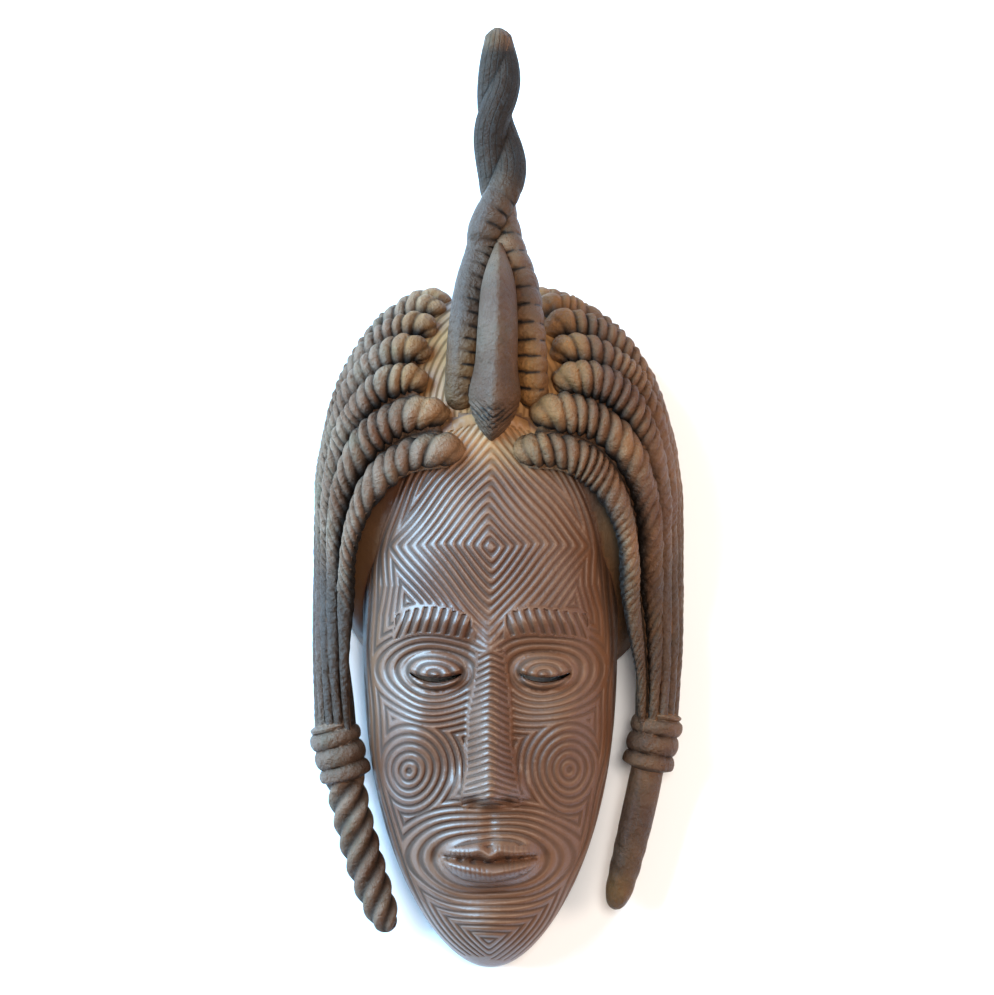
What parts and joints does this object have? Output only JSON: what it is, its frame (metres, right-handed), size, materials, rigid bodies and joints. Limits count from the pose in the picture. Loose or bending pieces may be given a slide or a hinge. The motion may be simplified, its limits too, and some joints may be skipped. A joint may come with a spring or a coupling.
{
  "type": "baule mask",
  "caption": "Carved wooden face mask, hollow behind, with rope-twisted locks tied in a bunch on each side and a tall plaited crest.",
  "frame": {"origin": "middle of the bounding box, on the plane of the flat back rim", "axes": "+Z out through the face, +Y from the chin up to the tip of the crest, +X to the right as seen from in front; the mask lies on its back"},
  "size_m": [0.2006, 0.4996, 0.0929],
  "materials": {
    "carved_wood": "waxed on the face, matt and dusty in the hair"
  },
  "bodies": {
    "root": {"mask": "carved_wood"}
  },
  "joints": []
}
